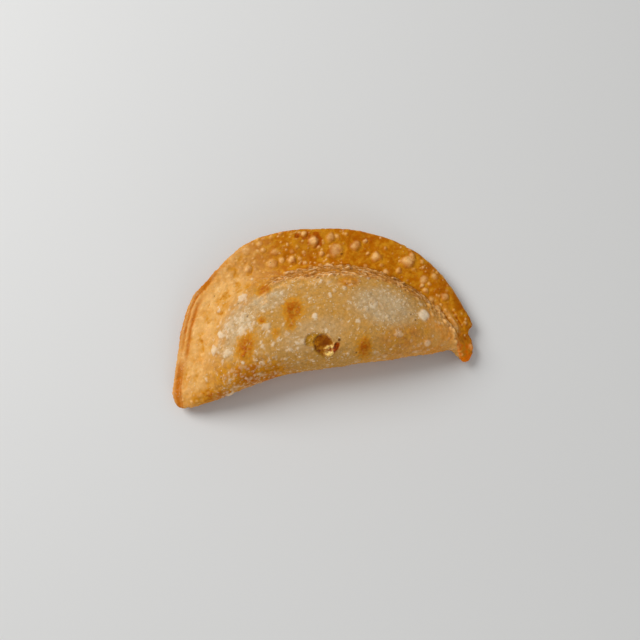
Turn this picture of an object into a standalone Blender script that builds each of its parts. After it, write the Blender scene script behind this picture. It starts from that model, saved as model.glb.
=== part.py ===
"""A fried empanada: a round of dough folded over its filling and pressed shut along the rim.

The pastry is one closed solid. Two grids, the upper and the lower sheet of dough, are laid over
the same half-moon outline and welded along it. +X runs along the fold, +Y from the fold to the
back of the curved rim and +Z up. The origin is the bottom centre of the bounding box.
"""

import math

import bmesh
import bpy
from mathutils import Vector
from mathutils.kdtree import KDTree

MM = 0.001

# The outline, from the centre of the round that the dough was before it was folded.
DISC_RADIUS = 81.0 * MM
# Where the rim swells (+) or is a little flat (-): angle and spread in degrees, and how far.
RIM_WAVES = (
    (9.0, 4.0, 0.5 * MM),
    (38.0, 8.0, 0.8 * MM),
    (64.0, 10.0, -1.0 * MM),
    (82.0, 14.0, -2.5 * MM),
    (112.0, 9.0, 1.4 * MM),
    (141.0, 6.0, 1.5 * MM),
    (164.0, 10.0, -2.2 * MM),
)
RIM_RIGHT_ANGLE = math.radians(9.2)
RIM_LEFT_ANGLE = math.radians(177.6)

# The fold: nearly straight, bent forward to the left corner and dropped into a tucked ear at the right.
FOLD_Y = 2.3 * MM
FOLD_LEFT_X = -76.0 * MM
FOLD_LEFT_DROP = 7.6 * MM
FOLD_LEFT_BEND = (-20.0 * MM, -70.0 * MM)
# Where the fold bows back (+) or forward (-): place and spread along it, and how far.
FOLD_WAVES = (
    (-17.0 * MM, 10.0 * MM, 0.5 * MM),
    (38.0 * MM, 20.0 * MM, -0.6 * MM),
    (54.0 * MM, 5.0 * MM, -0.6 * MM),
)
EAR_X = 72.6 * MM
EAR_DROP = 7.6 * MM
EAR_BEND = (64.0 * MM, 72.0 * MM)
CORNER_FULLNESS = 0.7
# Points that the ear's outer edge passes on its way up to the notch behind the rim's tip.
EAR_EDGE = (
    (75.8 * MM, -4.0 * MM),
    (78.1 * MM, 0.5 * MM),
    (78.4 * MM, 6.0 * MM),
    (77.0 * MM, 10.3 * MM),
)

# Thickness of the pressed sheets and of what they hold.
SHEET_HALF = 2.3 * MM
RIM_ROUND = 2.4 * MM
FOLD_ROUND = 15.0 * MM
WALL_RISE = 7.8 * MM
WALL_REACH = 7.5 * MM
WALL_TOE = 1.8 * MM
DOME_RISE = 9.0 * MM
DOME_REACH = 50.0 * MM
END_FALL = 0.5
SHOULDER_RISE = 15.0 * MM
SHOULDER_REACH = 36.0 * MM
SHOULDER_TOE = 7.0 * MM
# The crease where the filling ends, out from the centre of the round: at the back, and what is
# added toward the right end, broadly and close to it. Left of the back it fades to a shoulder.
CREASE_BACK = 56.5 * MM
CREASE_SIDE = 10.6 * MM
CREASE_END = 8.0 * MM
CREASE_LEFT = 75.5 * MM
CREASE_FADE = (104.0, 144.0)
KEEL_DEPTH = 16.5 * MM
KEEL_CENTRE = (-1.0 * MM, 28.0 * MM)
KEEL_HALF = (68.0 * MM, 36.0 * MM)
SETTLE = 1.6 * MM

# Height of the seam between the two sheets.
SEAM_MIDDLE_Z = 12.3 * MM
SEAM_BACK_Z = 10.5 * MM
SEAM_END_Z = 5.2 * MM
EAR_SAG = 1.8 * MM
EAR_STEP = (67.5 * MM, 71.5 * MM)

# The lower sheet stands out past the upper one at both ends of the rim.
LIP_WIDTH = 4.0 * MM
LIP_STEP = 0.9 * MM

# The grids: squares along and across, and how much the lines crowd toward the edges.
ALONG = 72
ACROSS = 34
END_CROWDING = 0.5
EDGE_CROWDING = 0.75
OUTLINE_SAMPLES = 1600

CRUST_COLOUR = (0.60, 0.33, 0.11, 1.0)
CRUST_ROUGHNESS = 0.55


def smooth(value, start, end):
    """0 at start and 1 at end, with no corner at either."""
    share = min(max((value - start) / (end - start), 0.0), 1.0)
    return share * share * (3.0 - 2.0 * share)


def quarter_round(distance, radius):
    """Rises from 0 at an edge to 1 at radius inside it, as a quarter circle does."""
    inside = 1.0 - min(max(distance / radius, 0.0), 1.0)
    return math.sqrt(max(1.0 - inside * inside, 0.0))


def waves(place, bumps):
    return sum(size * math.exp(-(((place - at) / spread) ** 2)) for at, spread, size in bumps)


def rim_radius(angle):
    degrees = math.degrees(angle)
    return DISC_RADIUS + waves(degrees, RIM_WAVES)


def rim_point(share):
    """The curved rim, from the left corner at share 0 to the tip on the right at 1."""
    angle = RIM_LEFT_ANGLE + (RIM_RIGHT_ANGLE - RIM_LEFT_ANGLE) * share
    return Vector((math.cos(angle), math.sin(angle), 0.0)) * rim_radius(angle)


def fold_point(share):
    """The folded edge, from the left corner at share 0 to the foot of the ear at 1."""
    x = FOLD_LEFT_X + (EAR_X - FOLD_LEFT_X) * share
    drop = FOLD_LEFT_DROP * smooth(x, *FOLD_LEFT_BEND) + EAR_DROP * smooth(x, *EAR_BEND)
    return Vector((x, FOLD_Y - drop + waves(x, FOLD_WAVES), 0.0))


def left_end(share):
    """The rounded left corner, a quarter ellipse from the fold up to the rim."""
    low, high = fold_point(0.0), rim_point(0.0)
    turn = share * math.pi / 2.0
    x = low.x + (high.x - low.x) * math.sin(turn) ** CORNER_FULLNESS
    y = high.y + (low.y - high.y) * max(math.cos(turn), 0.0) ** CORNER_FULLNESS
    return Vector((x, y, 0.0))


def right_end(share):
    """The ear's edge, a smooth curve from its foot to the notch, then out to the rim's tip."""
    points = [fold_point(1.0), *(Vector((x, y, 0.0)) for x, y in EAR_EDGE), rim_point(1.0)]
    place = min(share, 0.999999) * (len(points) - 1)
    index = int(place)
    t = place - index
    before, start = points[max(index - 1, 0)], points[index]
    end, after = points[index + 1], points[min(index + 2, len(points) - 1)]
    pull_in, pull_out = (end - before) / 2.0, (after - start) / 2.0
    return (
        start * (2.0 * t**3 - 3.0 * t**2 + 1.0)
        + pull_in * (t**3 - 2.0 * t**2 + t)
        + end * (3.0 * t**2 - 2.0 * t**3)
        + pull_out * (t**3 - t**2)
    )


def half_moon(u, v):
    """A point of the half-moon: u from the left end to the right, v from the fold to the rim."""
    across = fold_point(u).lerp(rim_point(u), v)
    left = left_end(v) - fold_point(0.0).lerp(rim_point(0.0), v)
    right = right_end(v) - fold_point(1.0).lerp(rim_point(1.0), v)
    return across + left * (1.0 - u) ** 4 + right * u**12


def edge_tree(curves):
    """A search tree over curves, each a function of a share from 0 to 1."""
    tree = KDTree(len(curves) * (OUTLINE_SAMPLES + 1))
    for number, curve in enumerate(curves):
        for step in range(OUTLINE_SAMPLES + 1):
            tree.insert(curve(step / OUTLINE_SAMPLES), number * (OUTLINE_SAMPLES + 1) + step)
    tree.balance()
    return tree


def crease_radius(angle):
    """How far out the filling reaches before the sheets are pressed together."""
    aside = math.cos(angle) ** 2
    right = CREASE_BACK + CREASE_SIDE * aside + CREASE_END * aside**15
    return right + (CREASE_LEFT - right) * smooth(math.degrees(angle), *CREASE_FADE)


def bulge(point):
    """How far the filling lifts the upper sheet: a wall and a dome, or on the left a shoulder."""
    angle = math.atan2(point.y, point.x) % (2.0 * math.pi)
    angle -= 2.0 * math.pi * (angle > 1.5 * math.pi)
    inside = crease_radius(angle) - point.xy.length
    wall = smooth(inside, -WALL_TOE, WALL_REACH)
    dome = 1.0 - (1.0 - min(max(inside / DOME_REACH, 0.0), 1.0)) ** 2.0
    fall = 1.0 - END_FALL * min(abs(point.x) / DISC_RADIUS, 1.0) ** 2.2
    walled = WALL_RISE * wall + DOME_RISE * dome
    shoulder = SHOULDER_RISE * smooth(inside, -SHOULDER_TOE, SHOULDER_REACH) + DOME_RISE * dome / 4.0
    return (walled + (shoulder - walled) * smooth(math.degrees(angle), *CREASE_FADE)) * fall


def keel(point):
    """How far the filling sinks the lower sheet."""
    across = (point.x - KEEL_CENTRE[0]) / KEEL_HALF[0]
    along = (point.y - KEEL_CENTRE[1]) / KEEL_HALF[1]
    return KEEL_DEPTH * max(1.0 - across * across - along * along, 0.0) ** 1.3


def settled(height):
    """The height of dough that lies flat where it would sink below the table, with a soft edge."""
    if height >= SETTLE:
        return height
    return max(height + SETTLE, 0.0) ** 2 / (4.0 * SETTLE)


def seam_height(point):
    to_end = min(abs(point.x) / DISC_RADIUS, 1.0) ** 2.4
    to_back = smooth(point.y, 20.0 * MM, 70.0 * MM)
    middle = SEAM_MIDDLE_Z + (SEAM_BACK_Z - SEAM_MIDDLE_Z) * to_back
    ear = smooth(point.x, *EAR_STEP) * smooth(point.y, 11.5 * MM, 8.0 * MM)
    return middle + (SEAM_END_Z - middle) * to_end - EAR_SAG * ear


def lip_drop(point, rim_distance):
    """The step down to the lip, where the lower sheet stands out past the upper one."""
    degrees = math.degrees(math.atan2(point.y, point.x)) % 360.0
    right = smooth(degrees, 52.0, 36.0)
    left = smooth(degrees, 128.0, 146.0)
    return LIP_STEP * max(right, left) * smooth(rim_distance, LIP_WIDTH + 0.8 * MM, LIP_WIDTH - 0.8 * MM)


def sheet_height(point, outline, rim, fold, upper):
    sheet = SHEET_HALF * quarter_round(outline.find(point)[2], RIM_ROUND)
    fold_share = quarter_round(fold.find(point)[2], FOLD_ROUND)
    if upper:
        lip = lip_drop(point, rim.find(point)[2]) * quarter_round(outline.find(point)[2], RIM_ROUND)
        return seam_height(point) + sheet - lip + bulge(point) * fold_share
    return settled(seam_height(point) - sheet - keel(point) * fold_share)


def add_sheet(mesh, trees, upper):
    """One grid over the half-moon, raised to the upper or the lower surface."""
    made = bmesh.ops.create_grid(mesh, x_segments=ALONG, y_segments=ACROSS, size=1.0)["verts"]
    for vert in made:
        along, across = vert.co.x, vert.co.y
        along += END_CROWDING * math.sin(math.pi * along) / math.pi
        u = min(max((along + 1.0) / 2.0, 0.0), 1.0)
        v = (across + 1.0) / 2.0
        v += EDGE_CROWDING * ((1.0 - math.cos(math.pi * v)) / 2.0 - v)
        point = half_moon(u, v)
        point.z = seam_height(point) if vert.is_boundary else sheet_height(point, *trees, upper)
        vert.co = point
    if not upper:
        faces = {face for vert in made for face in vert.link_faces}
        bmesh.ops.reverse_faces(mesh, faces=list(faces))


def weld_edge(mesh):
    """Joins the two sheets where both meet the outline."""
    edge = [vert for vert in mesh.verts if vert.is_boundary]
    pairs = bmesh.ops.find_doubles(mesh, verts=edge, dist=0.02 * MM)["targetmap"]
    bmesh.ops.weld_verts(mesh, targetmap=pairs)


def stand_on_origin(mesh):
    """Moves the pastry so that the origin is the bottom centre of its bounding box."""
    low = Vector(min(vert.co[k] for vert in mesh.verts) for k in range(3))
    high = Vector(max(vert.co[k] for vert in mesh.verts) for k in range(3))
    shift = Vector((-(low.x + high.x) / 2.0, -(low.y + high.y) / 2.0, -low.z))
    bmesh.ops.translate(mesh, vec=shift, verts=mesh.verts)


def crust_material():
    material = bpy.data.materials.new("fried_crust")
    material.use_nodes = True
    shader = material.node_tree.nodes["Principled BSDF"]
    shader.inputs["Base Color"].default_value = CRUST_COLOUR
    shader.inputs["Roughness"].default_value = CRUST_ROUGHNESS
    shader.inputs["Metallic"].default_value = 0.0
    return material


def make_empanada(collection):
    outline = edge_tree([rim_point, fold_point, left_end, right_end])
    rim = edge_tree([rim_point, left_end])
    fold = edge_tree([fold_point])
    shape = bmesh.new()
    for upper in (True, False):
        add_sheet(shape, (outline, rim, fold), upper)
    weld_edge(shape)
    stand_on_origin(shape)
    mesh = bpy.data.meshes.new("empanada")
    shape.to_mesh(mesh)
    shape.free()
    mesh.shade_smooth()
    mesh.materials.append(crust_material())
    pastry = bpy.data.objects.new("empanada", mesh)
    collection.objects.link(pastry)
    return pastry


def main():
    for old in list(bpy.data.objects):
        bpy.data.objects.remove(old)
    collection = bpy.data.collections.new("empanada")
    bpy.context.scene.collection.children.link(collection)
    make_empanada(collection)


main()
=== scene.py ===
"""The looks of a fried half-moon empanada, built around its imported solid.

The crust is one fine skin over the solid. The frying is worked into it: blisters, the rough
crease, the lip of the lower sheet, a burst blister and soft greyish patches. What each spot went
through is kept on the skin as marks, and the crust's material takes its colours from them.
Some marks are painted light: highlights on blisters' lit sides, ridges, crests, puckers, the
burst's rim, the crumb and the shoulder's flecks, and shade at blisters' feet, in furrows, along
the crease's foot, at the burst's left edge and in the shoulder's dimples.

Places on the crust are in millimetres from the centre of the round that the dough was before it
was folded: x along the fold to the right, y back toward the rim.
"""

import math
import random

import bmesh
import bpy
import numpy as np
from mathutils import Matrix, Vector, noise
from mathutils.kdtree import KDTree


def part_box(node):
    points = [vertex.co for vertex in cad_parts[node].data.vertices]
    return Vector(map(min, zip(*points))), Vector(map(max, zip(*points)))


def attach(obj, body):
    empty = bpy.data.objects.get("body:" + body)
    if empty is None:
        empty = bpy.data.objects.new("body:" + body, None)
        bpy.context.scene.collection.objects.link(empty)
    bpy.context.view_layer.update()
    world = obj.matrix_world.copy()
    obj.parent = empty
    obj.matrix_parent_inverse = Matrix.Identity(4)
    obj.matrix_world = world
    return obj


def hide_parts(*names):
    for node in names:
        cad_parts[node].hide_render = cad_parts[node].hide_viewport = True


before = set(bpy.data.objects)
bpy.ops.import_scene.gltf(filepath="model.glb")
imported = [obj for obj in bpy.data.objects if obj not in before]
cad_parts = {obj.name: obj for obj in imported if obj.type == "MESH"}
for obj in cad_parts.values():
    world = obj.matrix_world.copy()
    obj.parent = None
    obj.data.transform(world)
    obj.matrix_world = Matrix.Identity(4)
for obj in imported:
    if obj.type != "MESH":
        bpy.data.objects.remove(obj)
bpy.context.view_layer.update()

MM = 0.001
PASTRY_LOW, PASTRY_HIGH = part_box("empanada")
# The centre of the round lies this far behind the frontmost point of the ear.
ROUND_CENTRE = Vector((0.0, PASTRY_LOW.y + 5.33 * MM, 0.0))

# The outline of the round, as on the solid: radius, and where it swells (+) or is flat (-).
ROUND_RADIUS = 81.0
RIM_WAVES = (
    (9.0, 4.0, 0.5), (38.0, 8.0, 0.8), (64.0, 10.0, -1.0), (82.0, 14.0, -2.5),
    (112.0, 9.0, 1.4), (141.0, 6.0, 1.5), (164.0, 10.0, -2.2),
)
# How far out the filling reaches: at the back, and added toward the right end of the fold.
CREASE_BACK = 56.5
CREASE_SIDE = 10.6
CREASE_END = 8.0
# How wide the wrinkled band inside the crease is, at the back and toward the right.
BAND_BACK = 9.2
BAND_SIDE = 6.5

SKIN_GRAIN = 0.94

# The blisters that stand out on the pressed rim: degrees round from the right end of the fold,
# millimetres in from the edge, radius, rise, and how pale the top is. The small ones are scattered.
MAIN_BLISTERS = (
    (45, 8, 4.0, 2.0, 0.8), (45, 4, 2.0, 1.5, 0.5), (58, 13, 3.0, 1.2, 0.8), (68, 10, 3.0, 1.2, 0.5),
    (76, 13, 4.0, 0.9, 0.5), (79, 6, 3.0, 1.0, 0.4), (86, 8, 3.0, 1.8, 0.9), (83, 15, 2.0, 1.0, 0.7),
    (90, 4, 2.0, 0.9, 0.8), (98, 18, 2.5, 1.2, 0.7), (107, 17, 3.0, 0.9, 0.5), (24, 7, 2.5, 1.2, 0.5),
    (31, 14, 2.0, 1.0, 0.6), (21, 14, 2.5, 0.9, 0.6), (24, 18, 2.0, 0.8, 0.6),
)
# The spots that fried darker: place, half length, half width, turn in degrees, strength.
TOASTED = (
    (-12, 32, 6, 5, 80, 0.9), (-14, 26, 5, 3, 75, 0.7), (-28, 29, 2, 2, 0, 0.8), (-22, 21, 3, 2, 75, 0.6),
    (-25, 46, 4, 3, 20, 0.9), (-38, 17, 8, 5, 70, 0.8), (20, 8, 5, 4, 75, 0.8), (3, 73, 9, 6, 0, 0.75),
)
# Broad areas of the upper crust, given as the spots are: greyish, peach and golden.
GREY_PATCHES = (
    (33, 27, 15, 9, -20, 1.0), (-4, 18, 16, 7, 8, 0.5), (-25, 39, 12, 5, 8, 0.8),
    (-41, 31, 13, 8, 65, 0.9), (-47, 20, 8, 6, 85, 0.5),
)
PEACH = ((62, 14, 8, 13, 12, 1.0), (54, 4, 16, 5, 2, 0.8), (30, 0, 16, 4, 4, 0.6))
GOLDEN = (
    (-36, 3, 18, 7, -8, 1.0), (-56, -4, 14, 5, -8, 1.0), (40, 10, 12, 6, 5, 0.55),
    (50, 36, 9, 4, -45, 0.6), (18, 43, 5, 3, -5, 0.9),
)
# Folds and pressed lines that run round the rim: degrees at each end, millimetres in from the edge
# at each end, half width, rise (+) or depth (-), and how pale or how dark.
FOLDS = ((26, -2, 16, 12, 1.7, 0.7, 0.9), (21, 9, 11, 9, 1.0, 0.5, 0.5))
GROOVES = (
    (22, 6, 8, 6, 0.9, -0.5, 0.7), (23, 4, 13, 11, 0.8, -0.3, 0.5),
)
PRESSED_LINES = ((169, 136, 6, 6, 1.2, -0.45, 0.95), (166, 126, 3, 3, 0.9, -0.45, 0.95))
# Pale flakes of dough on the belly: place, radius and strength.
FLAKES = ((53, 20, 3.0, 1.0), (-2, 27, 1.5, 0.9), (52, 6, 1.8, 0.5))
# One pit in the rim: degrees round, millimetres in from the edge, and radius.
PIT = (93, 5, 1.6)
# The charred specks that stand out: place and radius.
CHARRED = ((18, 61, 0.6), (46, 21, 0.4), (48, 18, 0.5))
# How many stray things the frying left.
CLUMP_TRIES, CHAR_TRIES, TOP_FOLDS = 620, 60, 16

# The burst blister: where it is, and its parts as offsets from there. Each is an oval with its
# half length, half width and turn.
BURST_AT = (0, 12)
BURST_HOLLOW = (0, 0, 5, 4.5, -60)
BURST_DEPTH = (1, 1, 4, 3, -30)
BURST_SIDE = (-5, 3, 4, 3, 20)
BURST_CRUMB = (3, -3, 3, 2, 20)
BURST_HOLE = (6, -2, 2.5, 1.5, 50)
BURST_CHAR = (8, 1, 0.8)

FLOOR_COLOUR = (0.775, 0.775, 0.765, 1.0)


def smooth(values, start, end):
    """0 at start and 1 at end, with no corner at either."""
    share = np.clip((values - start) / (end - start), 0.0, 1.0)
    return share * share * (3.0 - 2.0 * share)


def bell(values, middle, spread):
    return np.exp(-(((values - middle) / spread) ** 2))


def rim_radius(angle):
    """How far the rim is from the round's centre, at an angle in degrees."""
    return ROUND_RADIUS + sum(rise * bell(angle, at, spread) for at, spread, rise in RIM_WAVES)


def on_rim(angle, inset):
    """The place in plan at an angle round the rim and some millimetres in from its edge."""
    far = rim_radius(angle) - inset
    return far * math.cos(math.radians(angle)), far * math.sin(math.radians(angle))


def mottle(points, grain, octaves=3):
    """Soft random patches, each about `grain` millimetres across, from about -1 to 1."""
    scaled = points / grain
    return np.array([noise.fractal(point, 1.0, 2.0, octaves) for point in scaled.tolist()])


def remade(name, shape, modifiers=()):
    """A mesh from a bmesh, with modifiers applied: each is a type and its settings."""
    mesh = bpy.data.meshes.new(name)
    shape.to_mesh(mesh)
    shape.free()
    piece = bpy.data.objects.new(name, mesh)
    bpy.context.scene.collection.objects.link(piece)
    for kind, settings in modifiers:
        modifier = piece.modifiers.new(kind.lower(), kind)
        for setting, value in settings.items():
            setattr(modifier, setting, value)
    if modifiers:
        done = piece.evaluated_get(bpy.context.evaluated_depsgraph_get())
        piece.data = bpy.data.meshes.new_from_object(done)
        piece.modifiers.clear()
        bpy.data.meshes.remove(mesh)
    return piece


def rolled_dough():
    """An even skin of small squares over the solid, twice as fine on top as below."""
    shape = bmesh.new()
    shape.from_mesh(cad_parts["empanada"].data)
    bmesh.ops.remove_doubles(shape, verts=shape.verts, dist=0.01 * MM)
    bmesh.ops.join_triangles(
        shape, faces=shape.faces, angle_face_threshold=math.radians(60.0),
        angle_shape_threshold=math.radians(70.0),
    )
    soften = ("SUBSURF", {"levels": 2, "render_levels": 2})
    knit = ("REMESH", {"mode": "VOXEL", "voxel_size": SKIN_GRAIN * MM})
    piece = remade("crust", shape, [soften, knit])
    shape = bmesh.new()
    shape.from_mesh(piece.data)
    for _ in range(6):
        bmesh.ops.smooth_vert(
            shape, verts=shape.verts, factor=0.5, use_axis_x=True, use_axis_y=True, use_axis_z=True
        )
    shape.normal_update()
    top = {edge for face in shape.faces if face.normal.z > -0.15 for edge in face.edges}
    bmesh.ops.subdivide_edges(shape, edges=list(top), cuts=1, use_grid_fill=True)
    for _ in range(3):
        bmesh.ops.smooth_vert(
            shape, verts=shape.verts, factor=0.5, use_axis_x=True, use_axis_y=True, use_axis_z=True
        )
    shape.to_mesh(piece.data)
    shape.free()
    return piece


class Skin:
    """The crust's points in millimetres from the round's centre, and what was done to each."""

    def __init__(self, mesh):
        self.count = len(mesh.vertices)
        places = np.empty(self.count * 3)
        mesh.vertices.foreach_get("co", places)
        self.at = (places.reshape(-1, 3) - np.array(ROUND_CENTRE)) / MM
        facing = np.empty(self.count * 3)
        mesh.vertex_normals.foreach_get("vector", facing)
        self.out = facing.reshape(-1, 3)
        self.x, self.y, self.z = self.at.T
        self.radius = np.hypot(self.x, self.y)
        angle = np.degrees(np.arctan2(self.y, self.x))
        self.angle = np.where(angle < -90.0, angle + 360.0, angle)
        self.from_rim = rim_radius(self.angle) - self.radius
        self.upper = smooth(self.out[:, 2], -0.35, 0.1)
        self.lift = np.zeros(self.count)
        self.domes = np.zeros(self.count)
        self.marks = {}
        self.tree = KDTree(self.count)
        for index, place in enumerate(self.at):
            self.tree.insert(place, index)
        self.tree.balance()
        tops = np.nonzero(self.out[:, 2] > 0.2)[0]
        self.flat_tops = KDTree(len(tops))
        for index in tops:
            self.flat_tops.insert((self.x[index], self.y[index], 0.0), index)
        self.flat_tops.balance()
        self.wobble = mottle(self.at, 7.0, 3)
        self.fine = mottle(self.at + 40.0, 2.0, 3)
        self.zones()

    def zones(self):
        """Shares, from 0 to 1, of the rim, the wrinkled band, the belly and the left shoulder."""
        aside = np.where(self.angle < 90.0, np.cos(np.radians(self.angle)) ** 2, 0.0)
        crease = CREASE_BACK + CREASE_SIDE * aside + CREASE_END * aside**15
        self.inside = crease - self.radius + 0.9 * self.wobble
        self.creased = smooth(self.angle, 124.0, 100.0) * smooth(self.y, 4.0, 12.0)
        self.width = (BAND_BACK - BAND_SIDE * aside) * smooth(self.angle, 16.0, 34.0)
        self.width *= 1.0 - 0.45 * smooth(self.angle, 94.0, 108.0) + 0.14 * self.fine
        step = self.inside - self.width
        hard = smooth(step, -1.3, 0.7)
        soft = smooth(self.inside + 4.0 * self.wobble + 1.5 * self.fine, -9.0, 9.0)
        self.belly = self.upper * (self.creased * hard + (1.0 - self.creased) * soft)
        self.band = self.upper * self.creased * smooth(self.inside, -0.3, 0.6) * (1.0 - hard)
        left = smooth(self.angle, 98.0, 130.0)
        rest = np.clip(self.upper - self.belly - self.band, 0.0, 1.0)
        self.flange = rest * (1.0 - left)
        self.shoulder = rest * left
        self.under = 1.0 - self.upper

    def surface(self, x, y):
        """The point of the upper crust over a place."""
        index = self.flat_tops.find((x, y, 0.0))[1]
        return self.at[index]

    def mark(self, name, values, index=slice(None)):
        """Keeps the strongest of what a spot was given under a name."""
        if name not in self.marks:
            self.marks[name] = np.zeros(self.count)
        self.marks[name][index] = np.maximum(self.marks[name][index], np.clip(values, 0.0, 1.0))

    def near(self, centre, reach):
        """The indexes of the points within reach of a centre, and how far each is."""
        found = self.tree.find_range(centre, reach)
        return np.array([f[1] for f in found], int), np.array([f[2] for f in found])

    def spot(self, centre, size, long=1.0, turn=0.0, ragged=0.0):
        """The points around a spot, and how far out each is: 0 at its centre, 1 at its edge."""
        index, far = self.near(centre, 1.7 * size * long)
        offset = self.at[index] - centre
        along = offset[:, 0] * math.cos(turn) + offset[:, 1] * math.sin(turn)
        far = np.sqrt(np.maximum(far**2 - along**2 * (1.0 - long**-2), 0.0))
        if ragged:
            rough = [noise.noise(place) for place in (self.at[index] * (1.3 / size) + 17.0).tolist()]
            far = far * (1.0 + ragged * np.array(rough))
        return index, far / size

    def oval(self, x, y, half_length, half_width, turn, ragged=0.0):
        """How far every point of the crust is from an oval's centre: 1 at its edge."""
        along = math.radians(turn)
        dx, dy = self.x - x, self.y - y
        a = (dx * math.cos(along) + dy * math.sin(along)) / half_length
        b = (dy * math.cos(along) - dx * math.sin(along)) / half_width
        return np.hypot(a, b) * (1.0 + ragged * self.fine)

    def burst_part(self, part, ragged):
        """How far every point is from one of the burst blister's parts: 1 at its edge."""
        across, back, *oval = part
        return self.oval(BURST_AT[0] + across, BURST_AT[1] + back, *oval, ragged=ragged)

    def areas(self, spots, softness, ragged=0.0):
        """The strongest of several oval areas, each fading over a share of its size."""
        total = np.zeros(self.count)
        for *oval, strength in spots:
            far = self.oval(*oval, ragged=ragged)
            total = np.maximum(total, strength * smooth(far, 1.0 + softness, 1.0 - softness))
        return total * self.upper

    def beside(self, start, end, start_inset, end_inset):
        """How far every point is from a line that runs round the rim, and how full the line is there."""
        share = (self.angle - start) / (end - start)
        inset = start_inset + (end_inset - start_inset) * np.clip(share, 0.0, 1.0)
        full = smooth(share, -0.05, 0.3) * smooth(share, 1.05, 0.7)
        return np.abs(self.from_rim - inset), full


def scatter(skin, rng, tries, sizes, welcome, taken=None):
    """Random places where `welcome` is high, each with a size, clear of the ones taken."""
    welcome = welcome / welcome.max()
    found = []
    for _ in range(tries):
        index = rng.randrange(skin.count)
        if rng.random() > welcome[index]:
            continue
        size = sizes[0] + (sizes[1] - sizes[0]) * rng.random() ** 2.0
        place = skin.at[index]
        if taken is not None:
            if any(((place - other) ** 2).sum() < (0.8 * (size + reach)) ** 2 for other, reach in taken):
                continue
            taken.append((place, size))
        found.append((place, size))
    return found


def raise_blister(skin, rng, centre, size, rise, pale, longest):
    """A dome pushed up from below: a pale top with a painted highlight, a browned foot with painted shade."""
    long, turn = rng.uniform(1.0, longest), rng.uniform(0.0, math.pi)
    index, share = skin.spot(centre, size, long, turn, 0.35)
    dome = 0.75 * rise * np.clip(1.0 - share**2, 0.0, 1.0)
    skin.domes[index] = np.maximum(skin.domes[index], dome * (1.0 + 0.15 * skin.fine[index]))
    foot = bell(share, 1.08, 0.25)
    skin.lift[index] -= 0.12 * min(rise, 1.2) * foot
    # Here `thin` is the side toward the light: the top is paled there as a painted highlight, and the foot ring is
    # darkened on the far side as painted shade.
    toward_light = math.radians(rng.uniform(95.0, 175.0))
    offset = (skin.at[index] - centre) / size
    thin = smooth(offset[:, 0] * math.cos(toward_light) + offset[:, 1] * math.sin(toward_light), -0.6, 0.5)
    clear = smooth(share, 1.0, 0.3) * (0.5 + 0.8 * thin + 0.45 * skin.fine[index])
    skin.mark("pale_and_highlight", (0.15 + pale) * clear, index)
    skin.mark("foot_browning_and_shade", min(rise, 1.0) * rng.uniform(0.6, 1.0) * foot * (1.0 - 0.75 * thin), index)


def blister_crust(skin, rng):
    """The blisters that stand out, and many small ones by chance."""
    placed = [
        (skin.surface(*on_rim(angle, inset)), size, rise, pale, 1.1)
        for angle, inset, size, rise, pale in MAIN_BLISTERS
    ]
    taken = [(centre, size) for centre, size, *_ in placed]
    crowded = bell(skin.angle, 102.0, 24.0) + 0.6 * bell(skin.angle, 24.0, 12.0)
    busy = skin.flange * smooth(skin.from_rim, 0.6, 2.5) * (0.25 + crowded)
    belly_end = skin.belly * smooth(skin.inside, 9.0, 3.0)
    belly_end *= smooth(skin.angle, 40.0, 28.0) * smooth(skin.y, 3.0, 8.0)
    shelf = (skin.flange + 0.5 * skin.belly) * bell(skin.from_rim, 13.0, 4.0) * bell(skin.angle, 27.0, 9.0)
    left_tip = skin.shoulder * bell(skin.from_rim, 10.0, 3.5) * smooth(skin.angle, 163.0, 170.0)
    kinds = (
        # tries, sizes, rise for its size, paleness, where
        (420, (1.3, 2.6), 0.40, (0.2, 0.8), busy),
        (2600, (0.45, 1.5), 0.45, (0.1, 0.9), busy),
        (900, (0.7, 2.6), 0.16, (0.0, 0.35), skin.shoulder),
        (500, (1.1, 2.4), 0.28, (0.4, 0.8), belly_end),
        (1500, (0.6, 1.3), 0.50, (0.5, 0.9), left_tip),
        (2500, (1.2, 2.4), 0.38, (0.3, 0.8), shelf),
        (3000, (0.8, 2.6), 0.28, (0.1, 0.7), skin.under * smooth(-skin.out[:, 2], 0.2, 0.6)),
    )
    for tries, sizes, rise, pale, where in kinds:
        for centre, size in scatter(skin, rng, tries, sizes, where, taken):
            height = size * rise * rng.uniform(0.5, 1.2)
            placed.append((centre, size, height, rng.uniform(*pale), 1.35))
    for blister in placed:
        raise_blister(skin, rng, *blister)


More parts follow.
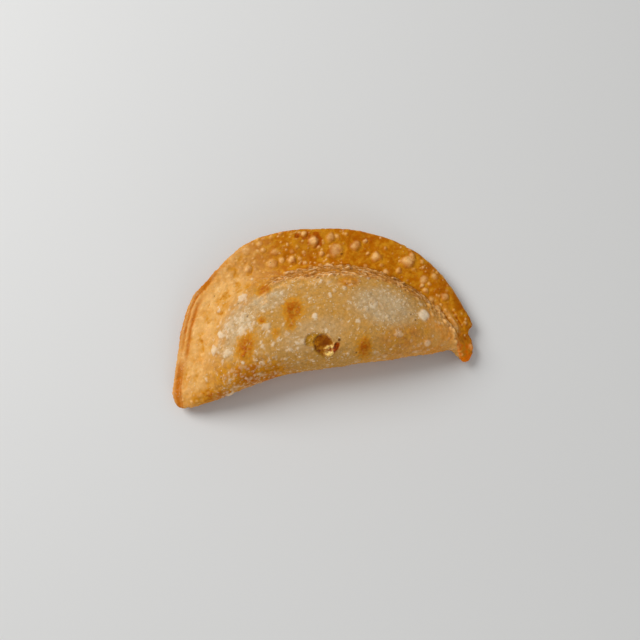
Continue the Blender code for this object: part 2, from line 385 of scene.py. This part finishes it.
def wrinkle_crease(skin, rng):
    """The band where the filling ends: wrinkles along it, a foot in painted shade, a top edge in painted
    highlight.
    """
    run = np.radians(skin.angle) * 58.0
    flat = np.zeros(skin.count)
    drift = mottle(np.stack([run / 6.0, skin.inside / 4.0, flat], 1), 1.0, 2)
    whole = smooth(mottle(np.stack([run / 3.2, skin.inside / 2.0, flat + 7.0], 1), 1.0, 2), -0.5, 0.3)
    wrinkles = np.sin(2.0 * math.pi * (skin.inside + 1.8 * drift) / 2.5) * (0.3 + 0.7 * whole)
    rough = mottle(np.stack([run / 2.8, skin.inside / 1.1, flat + 5.0], 1), 1.0, 2)
    share = np.clip(skin.inside / np.maximum(skin.width, 1.0), 0.0, 1.0)
    lower = smooth(share, 0.75, 0.3)
    skin.lift += skin.band * (0.42 * wrinkles + 0.22 * rough + 0.18 * skin.fine)
    skin.mark("crease", skin.band * (0.85 + 0.15 * lower))
    # The crests are paled as painted highlight and carry floury flakes; the furrows are darkened as painted shade.
    crests = smooth(wrinkles + 0.6 * rough + 0.4 * skin.fine, 0.25, 1.1)
    skin.mark("pale_and_highlight", 0.7 * skin.band * crests)
    skin.mark("flour", 0.4 * skin.band * crests * smooth(skin.wobble + rough, 0.0, 0.6))
    painted_furrow_shade = smooth(wrinkles + 0.5 * rough, -0.25, -1.0)
    skin.mark("painted_shade_and_outline", skin.band * painted_furrow_shade * (0.15 + 0.30 * lower))
    # The crease's foot lies in a groove and is darkened there as painted shade.
    foot = skin.creased * skin.upper * bell(skin.inside, -0.1, 0.55) * smooth(skin.angle, 20.0, 40.0)
    foot *= smooth(skin.angle, 104.0, 74.0)
    skin.lift -= 0.50 * foot
    skin.mark("painted_shade_and_outline", foot * (0.45 + 0.6 * rough))
    # The top edge is raised and paled as a painted highlight.
    top = skin.creased * skin.upper * bell(skin.inside, skin.width - 0.9, 0.8)
    top = top * smooth(skin.angle, 24.0, 36.0) * smooth(skin.wobble + rough, -0.5, 0.5)
    skin.lift += 0.50 * top
    skin.mark("pale_and_highlight", 0.8 * top)
    beads = skin.band * smooth(skin.angle, 44.0, 62.0) * bell(skin.inside, 1.6, 1.6)
    beads = beads + 0.3 * skin.band
    for centre, size in scatter(skin, rng, 5000, (0.45, 1.1), beads, []):
        along = math.atan2(centre[1], centre[0]) + 0.5 * math.pi
        index, share = skin.spot(centre, size, rng.uniform(1.0, 2.2), along, 0.3)
        skin.domes[index] = np.maximum(skin.domes[index], 0.6 * size * np.clip(1.0 - share**2, 0.0, 1.0))
        skin.mark("pale_and_highlight", rng.uniform(0.1, 1.0) * smooth(share, 1.1, 0.3), index)
        skin.mark("gloss", smooth(share, 1.1, 0.3), index)


def fold_and_press(skin, rng):
    """The folds at the right end, and the lines pressed along both ends of the rim."""
    for *run, half_width, rise, pale in FOLDS:
        far, full = skin.beside(*run)
        far = far / half_width * (1.0 + 0.45 * skin.wobble + 0.35 * skin.fine)
        full = full * skin.upper * np.clip(1.0 + 0.5 * skin.wobble + 0.3 * skin.fine, 0.0, 1.3)
        broken = np.clip(0.8 + 0.9 * skin.fine + 0.5 * skin.wobble, 0.3, 1.3)
        skin.lift += rise * full * bell(far, 0.0, 0.9) * broken
        skin.mark("pale_and_highlight", pale * full * bell(far, 0.0, 0.8) * broken)
    for _ in range(TOP_FOLDS):
        angle, inset = rng.uniform(62.0, 120.0), rng.uniform(32.0, 36.0)
        far, full = skin.beside(angle, angle + rng.uniform(6.0, 10.0), inset, inset + rng.uniform(-1.5, 1.5))
        fold = full * skin.belly * bell(far, 0.0, 0.8)
        skin.lift += 0.30 * fold
        skin.mark("pale_and_highlight", 0.5 * fold)
    for name, lines in (("fried", GROOVES), ("band", PRESSED_LINES)):
        for *run, half_width, rise, dark in lines:
            far, full = skin.beside(*run)
            far = far / half_width * (1.0 + 0.25 * skin.wobble)
            full = full * skin.upper * np.clip(1.0 + 0.3 * skin.wobble, 0.0, 1.2)
            skin.lift += rise * full * bell(far, 0.0, 1.0)
            skin.mark(name, dark * full * bell(far, 0.0, 1.05))
    pressed = bell(skin.from_rim, 3.2, 2.3) * smooth(skin.angle, 162.0, 169.0) * skin.upper
    skin.lift -= 0.40 * pressed
    skin.mark("band", pressed)
    seam = bell(skin.from_rim, 5.0, 0.8) * smooth(skin.angle, 166.0, 171.0) * skin.upper
    skin.lift -= 0.20 * seam
    skin.mark("band", 0.9 * seam)
    left_edge = smooth(skin.from_rim, 3.2, 0.4) * bell(skin.angle, 151.0, 11.0) * skin.upper
    skin.mark("band", 0.8 * left_edge)
    rim_face = bell(skin.angle, 133.0, 9.0) * smooth(skin.from_rim, 3.8, 2.2)
    skin.mark("band", 0.9 * rim_face * skin.upper)
    skin.mark("fried", 0.30 * rim_face * skin.upper)
    skin.mark("fried", 0.45 * smooth(skin.from_rim, 1.2, 0.2) * smooth(skin.angle, 128.0, 110.0))
    pale_edge = bell(skin.from_rim, 0.7, 0.5) * smooth(skin.angle, 84.0, 64.0)
    skin.mark("pale_and_highlight", 0.4 * pale_edge * smooth(skin.angle, 12.0, 20.0) * skin.upper)


def brown_ear(skin):
    """The tucked ear at the right end, where the lower sheet shows."""
    edge = 67.8 + 0.35 * np.maximum(1.0 - skin.y, 0.0) + 0.4 * skin.fine
    ear = smooth(skin.x, edge - 0.4, edge + 0.6) * smooth(skin.y, 10.6, 9.2) * skin.upper
    skin.mark("ear", ear)
    skin.mark("fried", ear * (0.15 + 0.40 * smooth(skin.y, -3.0, 8.0) + 0.5 * skin.wobble + 0.3 * skin.fine))
    skin.lift += ear * (0.40 * skin.wobble + 0.15 * skin.fine)


def burst_blister(skin):
    """A blister that broke open: a glossy hollow, a thin one beside it, a crumb and a hole."""
    far = skin.burst_part(BURST_HOLLOW, 0.08)
    hollow = smooth(far, 1.08, 0.92) * skin.upper
    rim = bell(far, 1.12, 0.09) * skin.upper
    beside = skin.burst_part(BURST_SIDE, 0.10)
    side = smooth(beside, 1.08, 0.80) * (1.0 - hollow) * skin.upper
    outline = bell(beside, 1.05, 0.12) * (1.0 - hollow) * skin.upper
    crumb = smooth(skin.burst_part(BURST_CRUMB, 0.25), 1.2, 0.8) * skin.upper
    hole = smooth(skin.burst_part(BURST_HOLE, 0.15), 1.15, 0.75) * skin.upper
    bare = 1.0 - np.maximum.reduce([hollow, side, crumb, hole])
    skin.domes *= bare
    skin.marks["flour"] *= bare
    grit = mottle(skin.at, 0.9, 2)
    right = smooth(skin.x, -2.0, 4.0)
    skin.lift += (0.25 + 0.35 * right) * rim - 0.9 * hollow - 0.3 * side + 0.2 * outline - 0.4 * hole
    skin.lift += crumb * (0.7 + 0.8 * grit)
    skin.mark("burst", hollow)
    deep = skin.burst_part(BURST_DEPTH, 0.30)
    skin.mark("depth", hollow * smooth(deep, 1.25, 0.5))
    skin.mark("olive", side + 0.9 * rim)
    # The rim's right side is paled as a painted highlight.
    skin.mark("pale_and_highlight", 0.9 * rim * right * (0.7 + 0.6 * grit))
    skin.mark("painted_shade_and_outline", 0.35 * outline)
    skin.mark("pale_and_highlight", 0.5 * side * smooth(grit, 0.2, 0.7))
    # The hollow's left edge is darkened as painted shade.
    skin.mark("painted_shade_and_outline", 0.8 * bell(far, 1.04, 0.06) * (1.0 - right) * skin.upper)
    skin.mark("crumb", crumb * (1.0 - hole))
    skin.mark("hole", hole)
    skin.mark("gloss", np.maximum(0.15 * hollow, 0.4 * crumb))


def flour_crust(skin, rng):
    """Flour that fried to pale clumps and flecks; and the belly's soft greyish patches."""
    grey_patch = skin.areas(GREY_PATCHES, 0.45)
    clear = 1.0 - smooth(skin.marks["toast"], 0.1, 0.6)
    skin.mark("grey_patch", skin.belly * grey_patch * clear * (1.0 + 0.30 * skin.wobble + 0.25 * skin.fine))
    shown = clear * (1.0 - 0.20 * skin.marks["golden"]) * (1.0 - skin.marks["ear"])
    shown = shown * (1.0 - 0.6 * skin.marks["peach"])
    left = bell(skin.x, -44.0, 9.0) * bell(skin.y, 20.0, 20.0)
    clumped = skin.belly * clear * (left + 0.12 * grey_patch + 0.05)
    clumps = [(skin.surface(x, y), size, strength, 0.12) for x, y, size, strength in FLAKES]
    for place, size in scatter(skin, rng, CLUMP_TRIES, (0.8, 2.4), clumped, []):
        leftward = bell(place[0], -46.0, 16.0)
        clumps.append((place, size, rng.uniform(0.25, 0.90) * (0.5 + 0.5 * leftward), 0.60))
    for place, size, strength, ragged in clumps:
        index, share = skin.spot(place, size, rng.uniform(1.0, 1.25), rng.uniform(0.0, math.pi), ragged)
        skin.domes[index] = np.maximum(skin.domes[index], 0.30 * size**0.5 * smooth(share, 1.1, 0.5))
        mottled = np.clip(1.0 + 0.4 * skin.fine[index], 0.0, 1.0)
        skin.mark("flour", strength * mottled * smooth(share, 1.15, 0.65), index)
    left = bell(skin.x, -42.0, 13.0) * bell(skin.y, 22.0, 24.0)
    front = smooth(skin.out[:, 2], 0.9, 0.5) * (0.45 + 0.55 * smooth(skin.x, 10.0, -40.0))
    patches = 0.25 + 0.75 * smooth(mottle(skin.at + 30.0, 9.0, 2), -0.35, 0.45)
    thick = skin.belly * (0.10 + 1.4 * left + 0.25 * grey_patch + 0.55 * front) * patches
    for centre, size in scatter(skin, rng, 17000, (0.4, 1.2), thick):
        turn = rng.uniform(0.0, math.pi)
        index, share = skin.spot(centre, size * 0.8, rng.uniform(1.0, 2.0), turn, 0.6)
        strength = 0.1 + 0.65 * rng.random() ** 1.5
        skin.domes[index] = np.maximum(skin.domes[index], 0.3 * size * strength * smooth(share, 1.1, 0.3))
        skin.mark("flour", strength * shown[index] * smooth(share, 1.2, 0.5), index)


def brown_crust(skin, rng):
    """Where the crust fried darker, stayed pale, or was charred."""
    skin.mark("belly", skin.belly)
    skin.mark("shoulder", skin.shoulder)
    skin.mark("under", skin.under)
    skin.mark("peach", skin.areas(PEACH, 0.5) * (0.9 + 0.3 * skin.wobble))
    skin.mark("golden", skin.areas(GOLDEN, 0.6) * (0.9 + 0.4 * skin.wobble + 0.4 * skin.fine))
    skin.mark("fried", 0.60 * skin.marks["golden"] * smooth(skin.x, -10.0, -25.0))
    toast = skin.areas(TOASTED, 0.75, ragged=0.2)
    puckered = mottle(skin.at + 11.0, 1.3, 2)
    skin.mark("fried", 0.78 * toast * (1.0 + 0.30 * skin.fine + 0.35 * puckered))
    skin.mark("toast", toast)
    skin.lift += 0.22 * toast * puckered
    # The raised puckers of the toasted spots are paled as painted highlight.
    skin.mark("pale_and_highlight", 0.14 * toast * smooth(puckered, 0.25, 0.8))
    patchy = mottle(skin.at + 70.0, 11.0, 3)
    skin.mark("fried", 0.45 * skin.under * smooth(patchy, -0.4, 0.8))
    beside_burst = skin.surface(BURST_AT[0] + BURST_CHAR[0], BURST_AT[1] + BURST_CHAR[1])
    charred = [(beside_burst, BURST_CHAR[2])]
    charred += [(skin.surface(x, y), size) for x, y, size in CHARRED]
    thin = skin.flange + 0.4 * skin.belly + 0.2 * skin.shoulder
    charred += scatter(skin, rng, CHAR_TRIES, (0.3, 0.5), thin)[:9]
    for centre, size in charred:
        index, share = skin.spot(centre, size, 1.0, 0.0, 0.5)
        skin.mark("char", 0.85 * smooth(share, 1.25, 0.5), index)


def open_pit(skin):
    """A small round pit near the rim's edge, left where a bubble dropped out."""
    angle, inset, size = PIT
    index, share = skin.spot(skin.surface(*on_rim(angle, inset)), size, 1.1, 0.5, 0.2)
    inside = smooth(share, 1.15, 0.6)
    skin.domes[index] *= 1.0 - inside
    skin.lift[index] -= 0.30 * inside
    skin.mark("hole", 0.85 * inside, index)
    for name in ("pale_and_highlight", "foot_browning_and_shade"):
        skin.marks[name][index] *= 1.0 - inside


def fry(skin):
    """Works the frying into the skin: what rises, what sinks, and how each spot is coloured."""
    rng = random.Random(7)
    skin.lift += 0.30 * mottle(skin.at, 16.0, 2) + 0.12 * skin.wobble
    skin.lift += 0.22 * skin.flange * mottle(skin.at + 9.0, 4.0, 2)
    dimples = mottle(skin.at * np.array([1.0, 0.6, 0.6]), 4.5, 2) + 0.3 * skin.wobble + 0.35 * skin.fine
    skin.lift += 0.42 * skin.shoulder * dimples + 0.24 * skin.shoulder * skin.fine
    # The shoulder's dimples are darkened as painted shade, and the rises between them paled as painted highlight.
    skin.mark("fried", 0.48 * skin.shoulder * smooth(dimples, 0.0, -0.9))
    skin.mark("pale_and_highlight", 0.5 * skin.shoulder * smooth(dimples, 0.0, 0.8))
    skin.lift += 0.22 * skin.belly * skin.fine
    front = skin.belly * smooth(skin.out[:, 2], 0.85, 0.45)
    skin.lift += 0.60 * front * mottle(skin.at, 1.6, 2)
    wrinkle_crease(skin, rng)
    fold_and_press(skin, rng)
    brown_ear(skin)
    brown_crust(skin, rng)
    blister_crust(skin, rng)
    flour_crust(skin, rng)
    burst_blister(skin)
    open_pit(skin)
    skin.lift += skin.domes


def fried(piece):
    """Gives the skin its relief and keeps the marks as attributes."""
    mesh = piece.data
    skin = Skin(mesh)
    fry(skin)
    places = (skin.at + skin.out * skin.lift[:, None]) * MM + np.array(ROUND_CENTRE)
    places[:, 2] = np.maximum(places[:, 2], 0.0)
    mesh.vertices.foreach_set("co", places.ravel())
    for name, values in skin.marks.items():
        attribute = mesh.attributes.new(name, "FLOAT", "POINT")
        attribute.data.foreach_set("value", values.astype(np.float32))
    mesh.update()
    mesh.shade_smooth()
    return piece


class Nodes:
    """Short ways to add and join a material's nodes."""

    def __init__(self, tree):
        self.tree = tree
        self.place = self.add("ShaderNodeTexCoord").outputs["Object"]

    def add(self, kind, **settings):
        node = self.tree.nodes.new(kind)
        for name, value in settings.items():
            setattr(node, name, value)
        return node

    def plug(self, socket, value):
        if isinstance(value, bpy.types.NodeSocket):
            self.tree.links.new(value, socket)
        else:
            socket.default_value = value

    def mark(self, name):
        return self.add("ShaderNodeAttribute", attribute_name=name).outputs["Fac"]

    def math(self, operation, a, b=0.0, c=0.0):
        node = self.add("ShaderNodeMath", operation=operation)
        for socket, value in zip(node.inputs, (a, b, c)):
            self.plug(socket, value)
        return node.outputs[0]

    def times(self, a, b):
        return self.math("MULTIPLY", a, b)

    def total(self, first, *rest):
        for value in rest:
            first = self.math("ADD", first, value)
        return first

    def mix(self, share, a, b):
        node = self.add("ShaderNodeMix", data_type="RGBA")
        self.plug(node.inputs["Factor"], share)
        self.plug(node.inputs[6], a)
        self.plug(node.inputs[7], b)
        return node.outputs[2]

    def range(self, value, low, high, to_low=0.0, to_high=1.0):
        node = self.add("ShaderNodeMapRange", interpolation_type="SMOOTHSTEP")
        for socket, number in zip(node.inputs, (value, low, high, to_low, to_high)):
            self.plug(socket, number)
        return node.outputs[0]

    def grain(self, size, detail=3.0, roughness=0.55, warp=0.0):
        """Noise with patches about `size` millimetres across."""
        node = self.add("ShaderNodeTexNoise")
        self.plug(node.inputs["Vector"], self.place)
        self.plug(node.inputs["Scale"], 1.0 / (size * MM))
        self.plug(node.inputs["Detail"], detail)
        self.plug(node.inputs["Roughness"], roughness)
        self.plug(node.inputs["Distortion"], warp)
        return node.outputs["Fac"]

    def streaks(self, size, thickness, warp=0.6):
        """Thin curved lines, 1 along each, about `size` millimetres apart."""
        off = self.math("ABSOLUTE", self.math("SUBTRACT", self.grain(size, 1.0, 0.5, warp), 0.5))
        return self.range(off, thickness, 0.2 * thickness)

    def specks(self, size, reach, share, stretch=1.0, turn=0.0):
        """A dot in some of the cells `size` millimetres apart; stretched, a short stroke."""
        place = self.add("ShaderNodeMapping", vector_type="TEXTURE")
        self.plug(place.inputs["Vector"], self.place)
        self.plug(place.inputs["Rotation"], (0.0, 0.0, math.radians(turn)))
        self.plug(place.inputs["Scale"], (stretch, 1.0, 1.0))
        cells = self.add("ShaderNodeTexVoronoi")
        self.plug(cells.inputs["Vector"], place.outputs["Vector"])
        self.plug(cells.inputs["Scale"], 1.0 / (size * MM))
        parts = self.add("ShaderNodeSeparateColor")
        self.plug(parts.inputs["Color"], cells.outputs["Color"])
        dot = self.range(cells.outputs["Distance"], reach, 0.5 * reach)
        kept = self.range(parts.outputs["Red"], share, share - 0.02)
        bright = self.range(parts.outputs["Green"], 0.0, 1.0, 0.3, 1.0)
        return self.times(dot, self.times(kept, bright))

    def scaled(self, colour_in, scale):
        node = self.add("ShaderNodeVectorMath", operation="SCALE")
        self.plug(node.inputs[0], colour_in)
        self.plug(node.inputs["Scale"], scale)
        return node.outputs[0]


def colour(red, green, blue):
    """A colour given in the display's own 0 to 255."""
    def linear(part):
        share = part / 255.0
        return share / 12.92 if share <= 0.04045 else ((share + 0.055) / 1.055) ** 2.4
    return (linear(red), linear(green), linear(blue), 1.0)


PEACH_DOUGH = colour(229, 172, 96)
BUTTER = colour(226, 158, 72)
CREAM = colour(243, 198, 132)
PEACH_END = colour(222, 144, 54)
GOLD = colour(194, 110, 3)
LIGHT_GOLD = colour(213, 142, 26)
AMBER = colour(178, 86, 1)
RUST = colour(140, 58, 1)
TAN = colour(204, 152, 79)
OLIVE_TAN = colour(192, 134, 46)
PATCH_GREY = colour(200, 170, 127)
FLOUR_AND_GLINT_WHITE = colour(244, 219, 184)
PALE_AND_HIGHLIGHT_PEACH = colour(247, 190, 118)
CREASE_BROWN = colour(184, 120, 46)
LIP_ORANGE = colour(194, 106, 9)
EAR_ORANGE = colour(238, 120, 0)
SHADE_AND_OUTLINE_BROWN = colour(126, 66, 12)
BURNT_SUGAR = colour(190, 120, 14)
BURST_BROWN = colour(134, 66, 4)
OLIVE_GOLD = colour(184, 130, 34)
PAINTED_GLINT_GOLD = colour(255, 214, 120)
HOLE_RED = colour(190, 80, 6)
CHAR_BLACK = colour(70, 28, 10)


def crust_material():
    """Fried dough: gold where thin, browned at blister feet, pale where floury, with painted highlights and shade.
    """
    material = bpy.data.materials.new("fried_crust")
    material.use_nodes = True
    n = Nodes(material.node_tree)
    shader = material.node_tree.nodes["Principled BSDF"]
    broad, middling, small, tiny = n.grain(8.0), n.grain(3.0), n.grain(1.7, 2.0), n.grain(0.9, 1.0)

    gold = n.mix(n.range(middling, 0.42, 0.68), GOLD, LIGHT_GOLD)
    off_shoulder = n.math("SUBTRACT", 1.0, n.range(n.mark("shoulder"), 0.0, 0.5))
    gold = n.mix(n.times(n.range(broad, 0.48, 0.72, 0.0, 0.75), off_shoulder), gold, AMBER)
    shoulder = n.mix(n.range(broad, 0.42, 0.70), PEACH_DOUGH, BUTTER)
    shoulder = n.mix(n.range(middling, 0.54, 0.74, 0.0, 0.55), shoulder, CREAM)
    base = n.mix(n.mark("shoulder"), gold, shoulder)
    tan = n.mix(n.range(middling, 0.42, 0.75, 0.0, 0.8), TAN, OLIVE_TAN)
    base = n.mix(n.mark("belly"), base, tan)
    base = n.mix(n.mark("peach"), base, n.mix(n.range(broad, 0.40, 0.65), PEACH_END, shoulder))
    base = n.mix(n.times(n.mark("golden"), 0.9), base, gold)
    grey_patch = n.times(n.mark("grey_patch"), n.range(middling, 0.25, 0.6, 0.5, 1.0))
    base = n.mix(grey_patch, base, PATCH_GREY)
    base = n.mix(n.times(n.mark("crease"), 0.9), base, CREASE_BROWN)
    base = n.mix(n.times(n.mark("under"), 0.8), base, gold)
    base = n.mix(n.mark("ear"), base, EAR_ORANGE)

    # The blisters' foot ring adds browning, darker on the side away from the light as painted shade.
    browned = n.total(n.mark("fried"), n.times(n.mark("foot_browning_and_shade"), 0.6))
    uneven = n.total(n.times(n.math("SUBTRACT", small, 0.5), 0.5), n.times(n.math("SUBTRACT", tiny, 0.5), 0.3))
    browned = n.math("ADD", browned, n.times(uneven, n.range(browned, 0.0, 0.3)))
    base = n.mix(n.range(browned, 0.0, 0.5, 0.0, 0.85), base, LIGHT_GOLD)
    base = n.mix(n.range(browned, 0.3, 0.85), base, AMBER)
    base = n.mix(n.range(browned, 1.0, 1.6), base, RUST)
    # Painted shade in the crease's furrows, along its foot and at the burst hollow's left edge; a dark outline
    # round the thin blister beside the hollow.
    base = n.mix(n.mark("painted_shade_and_outline"), base, SHADE_AND_OUTLINE_BROWN)
    base = n.mix(n.mark("olive"), base, OLIVE_GOLD)
    # Pale blister tops, and painted highlights on blisters' lit sides, wrinkle crests, ridges, shoulder rises and
    # puckers.
    paled_and_highlit = n.times(n.mark("pale_and_highlight"), n.range(small, 0.25, 0.6, 0.65, 1.0))
    base = n.mix(paled_and_highlit, base, PALE_AND_HIGHLIGHT_PEACH)
    base = n.mix(n.times(n.mark("band"), n.range(middling, 0.3, 0.6, 0.75, 1.0)), base, LIP_ORANGE)

    rough_skin = n.total(n.times(n.mark("belly"), 0.6), n.times(n.mark("crease"), 1.2), 0.50)
    rough_skin = n.math("SUBTRACT", rough_skin, n.times(n.mark("peach"), 0.3))
    tone = n.total(n.times(n.math("SUBTRACT", small, 0.5), 0.5), n.times(n.math("SUBTRACT", middling, 0.5), 0.4))
    tone = n.math("ADD", tone, n.times(n.math("SUBTRACT", tiny, 0.5), 0.35))
    base = n.scaled(base, n.math("ADD", 1.0, n.times(tone, rough_skin)))

    strokes = n.math("MAXIMUM", n.specks(1.4, 0.28, 0.40, 3.5, 50.0), n.specks(1.4, 0.28, 0.35, 3.5, -35.0))
    fleck = n.math("MAXIMUM", n.specks(1.3, 0.36, 0.5), strokes)
    flour_and_glint_share = n.total(n.times(n.mark("belly"), 0.85), n.times(n.mark("crease"), 0.4), 0.04)
    # On the shoulder the pale flecks are painted glints; on the belly and crease they are flour.
    flour_and_glint_share = n.math("ADD", flour_and_glint_share, n.times(n.mark("shoulder"), 0.30))
    flour_and_glint_share = n.times(flour_and_glint_share, n.math("SUBTRACT", 1.0, n.times(n.mark("golden"), 0.35)))
    flour_and_glint_share = n.times(flour_and_glint_share, n.math("SUBTRACT", 1.0, n.times(n.mark("peach"), 0.85)))
    flour_and_glint_share = n.times(flour_and_glint_share, n.math("SUBTRACT", 1.0, n.total(n.times(n.mark("toast"), 0.95), n.mark("ear"))))
    fleck = n.times(n.times(fleck, n.range(n.grain(5.0), 0.40, 0.62, 0.12, 1.0)), flour_and_glint_share)
    pores = n.times(n.specks(1.1, 0.34, 0.45), n.range(n.grain(4.0), 0.4, 0.6, 0.3, 1.0))
    base = n.mix(n.times(pores, n.times(n.mark("belly"), 0.30)), base, OLIVE_TAN)
    base = n.mix(n.times(fleck, 0.9), base, FLOUR_AND_GLINT_WHITE)
    base = n.mix(n.times(n.mark("flour"), n.range(small, 0.2, 0.5, 0.7, 0.95)), base, FLOUR_AND_GLINT_WHITE)

    syrup = n.mix(n.range(small, 0.35, 0.65), BURST_BROWN, BURNT_SUGAR)
    hollow = n.mix(n.times(n.mark("depth"), n.range(small, 0.2, 0.7, 1.0, 0.7)), syrup, BURST_BROWN)
    base = n.mix(n.mark("burst"), base, hollow)
    # The crumb is amber, speckled pale gold as painted glints.
    base = n.mix(n.mark("crumb"), base, n.mix(n.range(small, 0.35, 0.6), AMBER, PAINTED_GLINT_GOLD))
    base = n.mix(n.mark("hole"), base, n.mix(n.range(small, 0.4, 0.6), HOLE_RED, RUST))
    base = n.mix(n.mark("char"), base, CHAR_BLACK)
    n.plug(shader.inputs["Base Color"], base)

    dull = n.total(0.46, n.times(n.mark("belly"), 0.14), n.times(n.mark("flour"), 0.10))
    dull = n.math("SUBTRACT", dull, n.times(n.mark("gloss"), 0.22))
    n.plug(shader.inputs["Roughness"], n.math("ADD", dull, n.range(small, 0.2, 0.8, -0.06, 0.06)))
    n.plug(shader.inputs["Coat Weight"], n.total(0.0, n.times(n.mark("gloss"), 0.7), n.times(n.mark("pale_and_highlight"), 0.08)))
    shader.inputs["Coat Roughness"].default_value = 0.22
    shader.inputs["Specular IOR Level"].default_value = 0.03
    shader.inputs["Subsurface Weight"].default_value = 0.06
    shader.inputs["Subsurface Radius"].default_value = (1.0, 0.5, 0.2)
    shader.inputs["Subsurface Scale"].default_value = 0.7 * MM

    height = n.total(n.times(small, n.total(0.08, n.times(n.mark("crease"), 0.15))), n.times(tiny, 0.05))
    height = n.math("ADD", height, n.times(fleck, 0.10))
    bump = n.add("ShaderNodeBump")
    n.plug(bump.inputs["Height"], height)
    n.plug(bump.inputs["Distance"], 1.0 * MM)
    n.plug(bump.inputs["Strength"], 0.8)
    n.plug(shader.inputs["Normal"], bump.outputs["Normal"])
    return material


def floor_material():
    material = bpy.data.materials.new("pale_floor")
    material.use_nodes = True
    shader = material.node_tree.nodes["Principled BSDF"]
    shader.inputs["Base Color"].default_value = FLOOR_COLOUR
    shader.inputs["Roughness"].default_value = 0.7
    return material


def make_crust():
    crust = fried(rolled_dough())
    crust.data.materials.clear()
    crust.data.materials.append(crust_material())
    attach(crust, "root")
    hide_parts("empanada")
    return crust


def make_floor():
    shape = bmesh.new()
    bmesh.ops.create_grid(shape, x_segments=1, y_segments=1, size=2.0)
    floor = remade("floor", shape)
    floor.data.materials.append(floor_material())


def add_light(name, place, size, power, tint=(1.0, 1.0, 1.0)):
    light = bpy.data.lights.new(name, "AREA")
    light.shape = "DISK"
    light.size = size
    light.energy = power
    light.color = tint
    lamp = bpy.data.objects.new(name, light)
    lamp.location = place
    lamp.rotation_euler = Vector(place).to_track_quat("Z", "Y").to_euler()
    bpy.context.scene.collection.objects.link(lamp)


def add_studio():
    """A window-like softbox behind and to the left, a card in front, and an even fill all round."""
    add_light("window", (-0.80, 0.66, 0.95), 0.9, 14.0)
    add_light("card", (0.25, -0.95, 0.35), 0.6, 1.6)
    world = bpy.data.worlds.new("studio")
    world.use_nodes = True
    world.node_tree.nodes["Background"].inputs["Color"].default_value = (1.0, 1.0, 1.0, 1.0)
    world.node_tree.nodes["Background"].inputs["Strength"].default_value = 0.34
    bpy.context.scene.world = world
    bpy.context.scene.view_settings.view_transform = "Standard"


def add_camera():
    """Nearly straight above, from a little in front and to the left."""
    turn, rise, far = math.radians(-9.3), math.radians(78.0), 0.400
    target = Vector((0.93 * MM, ROUND_CENTRE.y + 28.1 * MM, 12.0 * MM))
    back = Vector((math.sin(turn) * math.cos(rise), -math.cos(turn) * math.cos(rise), math.sin(rise)))
    data = bpy.data.cameras.new("camera")
    data.angle = math.radians(45.0)
    data.clip_start = 0.01
    camera = bpy.data.objects.new("camera", data)
    camera.location = target + back * far
    camera.rotation_euler = back.to_track_quat("Z", "Y").to_euler()
    bpy.context.scene.collection.objects.link(camera)
    bpy.context.scene.camera = camera


add_camera()
add_studio()
make_crust()
make_floor()
